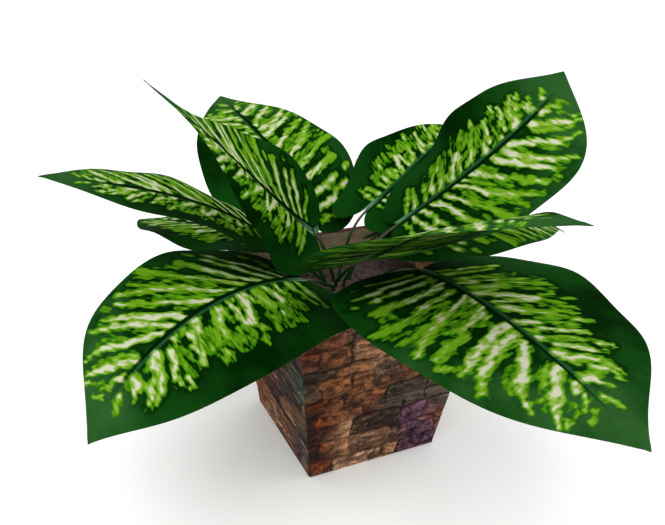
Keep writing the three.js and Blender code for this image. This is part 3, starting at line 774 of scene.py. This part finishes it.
def masonry():
    """Lays the courses and stones, and gives a function of place along the wall and height."""
    random = np.random.default_rng(SEED)
    heights = random.uniform(*COURSE_HEIGHT, COURSES_DRAWN)
    courses = np.cumsum(heights)
    courses = np.concatenate([[0], courses[courses < POT_HEIGHT + 16]]) + LOWEST_COURSE
    joints = []
    for _ in courses:
        lengths = random.uniform(*STONE_LENGTH, STONES_IN_COURSE)
        joints.append(np.cumsum(lengths) - random.uniform(0, JOINT_SHIFT) + FIRST_JOINT)
    stones = NUMBER_STEP * (len(courses) + 1) + STONES_IN_COURSE
    own_values = random.uniform(-1, 1, (stones, 4))

    def look(place, z, side):
        """Height, colour and painted joint shade of the masonry at places along the walls."""
        left_wall = side == LEFT
        stretch = np.where(left_wall, LEFT_STRETCH, 1.0)
        p = place / stretch + side * WALL_OFFSET
        # Wavy courses and joints, and the stone that each place belongs to.
        wp = p + 5 * noise(p / 24, z / 18, SEED + 11) + 1.6 * noise(p / 7, z / 6, SEED + 12)
        wz = z + 3 * noise(p / 30, z / 30, SEED + 13) + 1.5 * noise(p / 9, z / 8, SEED + 14)
        row = np.clip(np.searchsorted(courses, wz) - 1, 0, len(courses) - 2)
        to_course = np.minimum(wz - courses[row], courses[row + 1] - wz)
        stone = np.zeros(p.shape, np.int64)
        to_joint = np.zeros(p.shape)
        centre = np.zeros(p.shape)
        for k, marks in enumerate(joints):
            here = row == k
            lean = wp[here] + 0.35 * (wz[here] - courses[k]) * math.sin(3 * k)
            index = np.clip(np.searchsorted(marks, lean) - 1, 0, len(marks) - 2)
            stone[here] = NUMBER_STEP * k + index
            to_joint[here] = np.minimum(lean - marks[index], marks[index + 1] - lean)
            centre[here] = (marks[index] + marks[index + 1]) / 2
        centre = (centre - side * WALL_OFFSET) * stretch
        level = (courses[row] + courses[row + 1]) / 2
        own_face, _, own_tint, own_lean = own_values[stone].T
        gap = np.minimum(to_course, to_joint * stretch)
        # Worn joints, cracks and clefts, and the height of each stone's face.
        worn = np.clip(0.75 + 0.9 * noise(p / 15, z / 12, SEED + 26), 0.1, 1)
        rough = layered(p / 9, z / 5, SEED + 17, 4)
        crack = np.abs(noise(p / 19, z / 7, SEED + 15)) * 9
        crack_here = np.clip(0.5 + 1.6 * noise(p / 30, z / 30, SEED + 16), 0, 1)
        cleft = np.abs(layered(p / 15, z / 3.6, SEED + 21, 3))
        lean_out = own_lean * (wz - level) / 14
        depth = JOINT_DEPTH * worn * bell(np.maximum(gap - 0.3, 0), JOINT_WIDTH)
        depth += CRACK_DEPTH * bell(crack, CRACK_WIDTH) * crack_here
        face = 0.45 + 0.6 * own_face + 0.5 * rough - 0.7 * cleft + 0.5 * lean_out
        height = np.clip(STONE_RELIEF * face, -1, STONE_RELIEF) - depth
        uneven = place + 9 * noise(p / 11, z / 9, SEED + 27)
        mixed = OWN_COLOUR * centre + (1 - OWN_COLOUR) * uneven
        colour = laid_colour(mixed, OWN_COLOUR * level + (1 - OWN_COLOUR) * z, side)
        banded = layered(p / 15, wz / 2.4, SEED + 61, 2) * left_wall
        tint = 0.98 - 0.1 * left_wall + 0.34 * own_tint + 0.6 * rough - 0.4 * cleft + 0.75 * banded
        # Painted shade: the front wall is darker towards its left edge.
        tint -= 0.3 * bell(place + 85, 30) * (side == FRONT)
        # Painted highlight along the upper edge of each stone.
        edge_highlight = 0.5 * bell(gap - 3.2, 1.1) * (wz > level)
        colour = colour * np.maximum(tint + edge_highlight, 0.25)[:, None]
        # Painted shade in the joints, cracks and clefts.
        dark = np.maximum(bell(gap, JOINT_WIDTH) * worn, bell(crack, 0.9) * crack_here)
        dark = np.maximum(dark, 0.8 * bell(cleft, 0.09))
        return height, colour, np.clip(dark, 0, 1)

    return look


def make_pot(material):
    look = masonry()
    layers = []
    count = 4 * SIDE_POINTS
    side, step = np.divmod(np.arange(count), SIDE_POINTS)
    place = step / (SIDE_POINTS - 1) * 2 - 1
    outward = np.array([[0, -1], [1, 0], [0, 1], [-1, 0]], float)[side]

    def add(half, z, cut, relief, inner=False, rim=False):
        ring = square_ring(half, cut)
        level = np.full(count, float(z))
        height, colour, dark = look(place * half, level, side)
        # The relief is held back at the corners, so that they stay straight.
        off_corner = 1 - bell((1 - np.abs(place)) * half, CORNER_WIDTH)
        shift = np.clip(height - STONE_RELIEF, -DEEPEST_RELIEF, 0) * (0.35 + 0.65 * off_corner)
        smooth = np.full(count, float(inner))
        if inner:
            # Planed on the inside, but for the wall on the right, whose masonry goes through.
            smooth = np.where(side == RIGHT, 0.3, 1.0)
            grain = 1 + 0.22 * layered(place * half / 70, level / 2.2, SEED + 51, 2)
            planed = np.array(rgb(*LIT_INNER_WALL)) * grain[:, None]
            # The masonry inside is painted lighter than outside, as painted light against the shade
            # inside the planter.
            colour = colour * INNER_PAINTED_LIGHT * (1 - smooth[:, None]) + planed * smooth[:, None]
            dark = dark * (1 - smooth)
            shift = -shift * (1 - smooth)
        if rim:
            shade = 1 + 0.4 * layered(place * half / 12, level + half / 3, SEED + 52, 2)
            colour = np.array(rgb(*RIM)) * shade[:, None]
            dark = 0.3 * dark
        ring = ring + outward * (shift * relief)[:, None]
        layers.append((np.column_stack([ring, level]), colour, dark, smooth))

    add(pot_half(0) - POT_EDGE, 0, POT_EDGE, 0)
    for z in np.linspace(POT_EDGE, POT_HEIGHT - RIM_EDGE, WALL_ROWS):
        low_edge = np.clip((z - POT_EDGE) / RELIEF_FADE, 0, 1)
        top_edge = np.clip((POT_HEIGHT - RIM_EDGE - z) / RELIEF_FADE, 0, 1)
        add(pot_half(z), z, POT_EDGE, min(low_edge, top_edge) * 0.9 + 0.1)
    top = pot_half(POT_HEIGHT)
    add(top - RIM_EDGE, POT_HEIGHT - 0.2, POT_EDGE, 0.2, rim=True)
    for part in (0.35, 0.65):
        half = top - RIM_EDGE - part * (POT_WALL - 2 * RIM_EDGE)
        add(half, POT_HEIGHT, POT_EDGE, 0, rim=True)
    add(top - POT_WALL + RIM_EDGE, POT_HEIGHT - 0.2, POT_EDGE * 0.6, 0, rim=True)
    for z in np.linspace(POT_HEIGHT - RIM_EDGE, SOIL_TOP - INNER_BELOW_SOIL, INNER_ROWS):
        add(pot_half(z) - POT_WALL, z, POT_EDGE * 0.4, 0.5, inner=True)
    add(pot_half(POT_FLOOR) - POT_WALL, POT_FLOOR, POT_EDGE * 0.4, 0, inner=True)

    points, *looks = (np.concatenate(layer) for layer in zip(*layers))
    fields = dict(zip(("stone", "dark", "inside"), looks))
    faces = ring_faces(len(layers), count)
    piece = make_piece("pot_fine", points, faces, material, fields)
    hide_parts("pot")


def soil_height(x, y):
    half = pot_half(SOIL_TOP) - POT_WALL
    fade = (1 - (x / half) ** 2) * (1 - (y / half) ** 2)
    swell = np.sin(x / 17 + 0.6) * np.cos(y / 21 - 0.4) + 0.5 * np.sin((x + y) / 11)
    return SOIL_TOP + SOIL_RELIEF * fade * swell


def crumb(random, x, y, radius):
    """One small lump of soil, half sunk."""
    ball = bmesh.new()
    bmesh.ops.create_icosphere(ball, subdivisions=2, radius=1)
    points = np.array([v.co for v in ball.verts], float)
    faces = [tuple(v.index for v in face.verts) for face in ball.faces]
    ball.free()
    offset = random.uniform(0, 100)
    lumps = 1 + 0.35 * noise(points[:, 0] * 1.7 + offset, points[:, 1] * 1.7 + points[:, 2], SEED)
    points *= lumps[:, None] * radius * random.uniform(0.7, 1.2, 3)
    lift = soil_height(x, y) + radius * random.uniform(-0.1, 0.35)
    return points + [x, y, lift], faces


def make_soil(material):
    half = pot_half(SOIL_TOP) - POT_WALL - SOIL_GAP
    low = POT_FLOOR + SOIL_GAP
    low_half = pot_half(low) - POT_WALL - SOIL_GAP
    n = SOIL_POINTS
    run = np.linspace(-half, half, n)
    x, y = np.meshgrid(run, run, indexing="ij")
    near_wall = np.clip((half - np.maximum(np.abs(x), np.abs(y))) / 5, 0, 1)
    grain = 0.9 * layered(x / 7, y / 7, SEED + 31, 4) * (0.3 + 0.7 * near_wall)
    lumps = 0.8 * np.maximum(noise(x / 3.2, y / 3.2, SEED + 36), 0)
    level = soil_height(x, y) + grain + lumps - SOIL_LOWERED
    top = np.stack([x, y, level], -1).reshape(-1, 3)
    points = [top, [(x * low_half, y * low_half, low) for x, y in CORNERS]]
    faces = grid_faces(0, n, n)
    base = n * n
    grid = np.arange(base).reshape(n, n)
    for k, line in enumerate((grid[::-1, 0], grid[-1, ::-1], grid[:, -1], grid[0])):
        faces.append((base + k, base + (k + 1) % 4, *line.tolist()))
    faces.append((base + 3, base + 2, base + 1, base))
    total = base + 4
    random = np.random.default_rng(SEED + 40)
    feet = np.array([leaf["foot"] for leaf in LEAVES.values()], float)
    for _ in range(CRUMBS):
        cx, cy = random.uniform(-half + CRUMB_MARGIN, half - CRUMB_MARGIN, 2)
        radius = random.uniform(*CRUMB_RADIUS)
        if np.hypot(*(feet - [cx, cy]).T).min() < CRUMB_MARGIN:
            continue
        lump, lump_faces = crumb(random, cx, cy, radius)
        points.append(lump)
        faces += [tuple(v + total for v in face) for face in lump_faces]
        total += len(lump)
    piece = make_piece("soil_fine", np.vstack(points), faces, material)
    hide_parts("soil")


# Materials


class Nodes:
    """Short calls that build one material's node tree."""

    def __init__(self, name):
        self.material = bpy.data.materials.new(name)
        self.material.use_nodes = True
        self.tree = self.material.node_tree
        self.shader = self.tree.nodes["Principled BSDF"]

    def node(self, kind, inputs=None, **settings):
        """A new node with values or links for its inputs, by name or by number."""
        made = self.tree.nodes.new(kind)
        for key, value in settings.items():
            setattr(made, key, value)
        for key, value in (inputs or {}).items():
            self.put(made.inputs[key], value)
        return made

    def put(self, socket, value):
        if isinstance(value, bpy.types.NodeSocket):
            self.tree.links.new(value, socket)
        elif socket.type == "RGBA":
            socket.default_value = (*value, 1)
        else:
            socket.default_value = value

    def attribute(self, name, output="Fac"):
        return self.node("ShaderNodeAttribute", attribute_name=name).outputs[output]

    def math(self, operation, a, b=0.0, clamp=False):
        made = self.node("ShaderNodeMath", {0: a, 1: b}, operation=operation, use_clamp=clamp)
        return made.outputs[0]

    def add(self, a, b):
        return self.math("ADD", a, b)

    def times(self, a, b):
        return self.math("MULTIPLY", a, b)

    def ramp(self, value, low, high, to_low=0.0, to_high=1.0):
        """Goes smoothly from to_low to to_high as value goes from low to high."""
        inputs = dict(enumerate((value, low, high, to_low, to_high)))
        made = self.node("ShaderNodeMapRange", inputs, interpolation_type="SMOOTHSTEP")
        return made.outputs[0]

    def mix(self, share, a, b, blend="MIX"):
        inputs = {0: share, 6: a, 7: b}
        return self.node("ShaderNodeMix", inputs, data_type="RGBA", blend_type=blend).outputs[2]

    def stretched(self, vector, scale):
        inputs = dict(Vector=vector, Scale=Vector(scale))
        return self.node("ShaderNodeMapping", inputs).outputs[0]

    def noise(self, vector, scale, detail=3.0, roughness=0.55):
        """Noise centred on nought, about -0.5 to 0.5."""
        inputs = dict(Vector=vector, Scale=scale, Detail=detail, Roughness=roughness)
        made = self.node("ShaderNodeTexNoise", inputs)
        return self.math("SUBTRACT", made.outputs[0], 0.5)

    def object_place(self):
        return self.node("ShaderNodeTexCoord").outputs["Object"]

    def bump(self, height, strength, distance):
        inputs = dict(Height=height, Strength=strength, Distance=distance)
        made = self.node("ShaderNodeBump", inputs)
        self.put(self.shader.inputs["Normal"], made.outputs[0])

    def finish(self, colour, roughness, **constants):
        self.put(self.shader.inputs["Base Color"], colour)
        self.put(self.shader.inputs["Roughness"], roughness)
        for key, value in constants.items():
            self.put(self.shader.inputs[key.replace("_", " ")], value)
        return self.material


def leaf_material():
    n = Nodes("variegated_leaf")
    flow = n.attribute("flow", "Vector")
    light, cream, tone_sheen_shade = (n.attribute(key) for key in ("light", "cream", "tone_sheen_shade"))
    along, off_rib, under, stalk = (n.attribute(key) for key in ("along", "off_rib", "under", "stalk"))

    streaky = n.noise(n.stretched(flow, (0.25, 0.1, 0.25)), 1, 1, 0.5)
    fingers = n.noise(n.stretched(flow, (0.17, 0.055, 0.17)), 1, 2, 0.5)
    fine = n.noise(n.stretched(flow, (1.5, 0.4, 1.5)), 1, 2, 0.5)
    cloudy = n.noise(n.stretched(flow, (0.035, 0.035, 0.035)), 1, 4, 0.6)

    # The green goes from a shaded deep green through a mid green to a sheen green: painted shade and
    # painted sheen, besides cloudy changes in the leaf's own green.
    green_share = n.add(n.add(tone_sheen_shade, n.times(cloudy, 1.6)), n.times(fine, 0.3))
    green = n.mix(n.ramp(green_share, -0.9, 0.2), rgb(*SHADED_DEEP_GREEN), rgb(*MID_GREEN))
    green = n.mix(n.ramp(green_share, 0.1, 1.3), green, rgb(*SHEEN_GREEN))
    halo = n.times(n.ramp(light, -5.5, -1.5), n.ramp(green_share, 0.8, 0.0))
    green = n.mix(n.times(halo, 0.8), green, rgb(*HALO_GREEN))

    ragged = n.add(n.add(n.times(streaky, 8.5), n.times(fingers, 7)), n.times(fine, 1.0))
    light_edge = n.add(light, ragged)
    lime_here = n.ramp(light_edge, -0.5, 0.5)
    lime = n.mix(n.ramp(light_edge, 0.0, 3.0), rgb(*LIME_EDGE), rgb(*LIME))
    colour = n.mix(lime_here, green, lime)
    cream_edge = n.add(cream, n.add(n.times(streaky, 9), n.times(fingers, 4)))
    colour = n.mix(n.ramp(cream_edge, -1.5, 0.5), colour, rgb(*YELLOW))
    colour = n.mix(n.ramp(cream_edge, 0, 2), colour, rgb(*CREAM))

    # Midrib: painted shade as a dark band on its right, a painted highlight as a lighter line on its
    # left, and a pale painted highlight where the stalk meets it.
    fade = n.ramp(along, 0.7, 0.92, 1.0, 0.0)
    band_width = n.ramp(along, 0.0, 0.9, 3.2, 1.3)
    beside = n.math("DIVIDE", n.math("ABSOLUTE", n.add(off_rib, 1.9)), band_width)
    colour = n.mix(n.times(n.ramp(beside, 1.3, 0.7), fade), colour, rgb(*RIB_SHADE))
    line = n.math("ABSOLUTE", n.add(off_rib, -1.6))
    line = n.times(n.ramp(line, 2.2, 0.6), n.times(fade, 0.5))
    colour = n.mix(line, colour, rgb(*RIB_HIGHLIGHT))
    near_rib = n.ramp(n.math("ABSOLUTE", n.add(off_rib, -1)), 4.5, 1.5)
    base = n.times(n.ramp(along, 0.12, 0.02), near_rib)
    colour = n.mix(n.times(base, 0.8), colour, rgb(*RIB_BASE_HIGHLIGHT))

    # The lower face is paler and duller.
    pale = n.mix(0.45, colour, rgb(*UNDERSIDE))
    colour = n.mix(under, colour, pale)

    # Stalk: dark green, grey-brown where it bends into the blade, then the keel's green.
    upper = n.ramp(n.add(stalk, n.times(cloudy, 0.1)), 0.5, 0.85)
    bark = n.mix(upper, rgb(*STALK_GREEN), rgb(*STALK_BARK))
    bark = n.mix(n.ramp(stalk, 1.0, 1.08), bark, rgb(*KEEL_GREEN))
    colour = n.mix(n.ramp(stalk, -0.2, -0.1), colour, bark)

    n.bump(n.add(fine, n.times(streaky, 0.6)), 0.25, 0.0004)
    rough = n.add(n.ramp(under, 0.0, 1.0, 0.6, 0.75), n.times(fine, 0.1))
    return n.finish(colour, rough, Specular_IOR_Level=0.003)


def masonry_material():
    n = Nodes("masonry")
    place = n.object_place()
    stone = n.attribute("stone", "Vector")
    dark = n.attribute("dark")
    inside = n.attribute("inside")
    rugged = n.math("SUBTRACT", 1.0, inside)
    grain = n.noise(place, 480, 5, 0.7)
    patches = n.noise(place, 110, 4, 0.6)
    streaks = n.noise(n.stretched(place, (70, 70, 230)), 1, 4, 0.6)
    pits = n.noise(place, 1100, 2, 0.5)

    # Uneven brightness, less of it on the planed inside.
    uneven = n.add(n.times(grain, 2.4), n.add(n.times(patches, 2.4), n.times(streaks, 1.5)))
    bright = n.add(1.0, n.times(uneven, n.add(0.25, n.times(rugged, 0.75))))
    level = n.node("ShaderNodeCombineXYZ", {0: bright, 1: bright, 2: bright})
    colour = n.mix(1.0, stone, level.outputs[0], "MULTIPLY")

    # Rust stains, pale chips, pits, and painted shade in the modelled joints and cracks and in fine
    # cracks besides them.
    rust = n.times(n.ramp(n.add(patches, n.times(streaks, 0.5)), 0.14, 0.3), rugged)
    colour = n.mix(n.times(rust, 0.5), colour, rgb(*RUST_STAIN))
    chips = n.times(n.ramp(n.add(streaks, n.times(grain, 0.9)), 0.17, 0.32), rugged)
    colour = n.mix(n.times(chips, 0.65), colour, rgb(*CHIP))
    pitted = n.times(n.ramp(n.add(pits, n.times(patches, 0.6)), 0.16, 0.26), rugged)
    colour = n.mix(n.times(pitted, 0.7), colour, rgb(*PIT))
    line = n.math("ABSOLUTE", n.noise(n.stretched(place, (38, 38, 150)), 1, 3, 0.6))
    lines = n.times(n.ramp(line, 0.02, 0.004), n.times(n.ramp(patches, -0.05, 0.08), rugged))
    crevice_shade = n.math("ADD", dark, n.times(lines, 0.8), clamp=True)
    colour = n.mix(n.times(crevice_shade, 0.9), colour, rgb(*CREVICE_SHADE))
    n.bump(n.add(n.times(grain, 0.6), n.add(patches, n.times(crevice_shade, -0.5))), 0.7, 0.002)
    rough = n.add(0.82, n.times(grain, 0.2))
    return n.finish(colour, rough, Specular_IOR_Level=0.15)


def soil_material():
    n = Nodes("soil")
    place = n.object_place()
    grain = n.noise(place, 700, 4, 0.7)
    lumps = n.noise(place, 160, 3, 0.6)
    share = n.add(grain, n.times(lumps, 0.7))
    colour = n.mix(n.ramp(share, -0.25, 0.25), rgb(*DARK_SOIL), rgb(*LIGHT_SOIL))
    colour = n.mix(n.ramp(grain, 0.2, 0.3), colour, rgb(*SOIL_GRIT))
    n.bump(share, 0.6, 0.0012)
    return n.finish(colour, 0.95, Specular_IOR_Level=0.2)


def floor_material():
    n = Nodes("studio_floor")
    faint = n.noise(n.object_place(), 3, 2, 0.5)
    colour = n.mix(n.ramp(faint, -0.4, 0.4), (0.97, 0.97, 0.97), (0.98, 0.98, 0.98))
    glow = dict(Emission_Color=(1, 1, 1), Emission_Strength=0.1)
    return n.finish(colour, 0.9, Specular_IOR_Level=0.1, **glow)


# Camera, floor and light


def make_camera():
    """The camera that fits the planter's corners in the photograph."""
    yaw, pitch, roll = CAMERA_YAW, CAMERA_PITCH, CAMERA_ROLL
    back = Vector(
        (math.sin(yaw) * math.cos(pitch), -math.cos(yaw) * math.cos(pitch), math.sin(pitch))
    )
    right = Vector((math.cos(yaw), math.sin(yaw), 0))
    up = back.cross(right)
    tilted_right = right * math.cos(roll) + up * math.sin(roll)
    tilted_up = up * math.cos(roll) - right * math.sin(roll)
    data = bpy.data.cameras.new("camera")
    data.sensor_fit = "HORIZONTAL"
    data.sensor_width = 36
    data.lens = 36 * FOCAL_PIXELS / FRAME_WIDTH
    data.clip_start = 0.01
    data.clip_end = 100
    camera = new_object("camera", data)
    turned = Matrix((tilted_right, tilted_up, back)).transposed().to_4x4()
    place = (Vector(CAMERA_TARGET) + back * CAMERA_DISTANCE) * MM
    camera.matrix_world = Matrix.Translation(place) @ turned
    bpy.context.scene.camera = camera


def make_stage():
    mesh = bpy.data.meshes.new("floor")
    corners = [(x * FLOOR_REACH, y * FLOOR_REACH, 0) for x, y in CORNERS]
    mesh.from_pydata(corners, [], [(0, 1, 2, 3)])
    mesh.materials.append(floor_material())
    floor = new_object("floor", mesh)
    world = bpy.data.worlds.new("studio")
    world.use_nodes = True
    background = world.node_tree.nodes["Background"]
    background.inputs["Color"].default_value = (1, 1, 1, 1)
    background.inputs["Strength"].default_value = 1.0
    bpy.context.scene.world = world
    for name, (place, size, power) in LIGHTS.items():
        data = bpy.data.lights.new(name, "AREA")
        data.size = size
        data.energy = power
        light = new_object(name, data)
        light.location = place
        light.rotation_mode = "QUATERNION"
        away = Vector(place) - Vector(LIT_POINT)
        light.rotation_quaternion = away.to_track_quat("Z", "Y")
    bpy.context.scene.view_settings.view_transform = "Standard"


def main():
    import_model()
    make_camera()
    make_stage()
    leaf_look = leaf_material()
    make_pot(masonry_material())
    make_soil(soil_material())
    for name, leaf in LEAVES.items():
        make_leaf(name, leaf, leaf_look)


main()
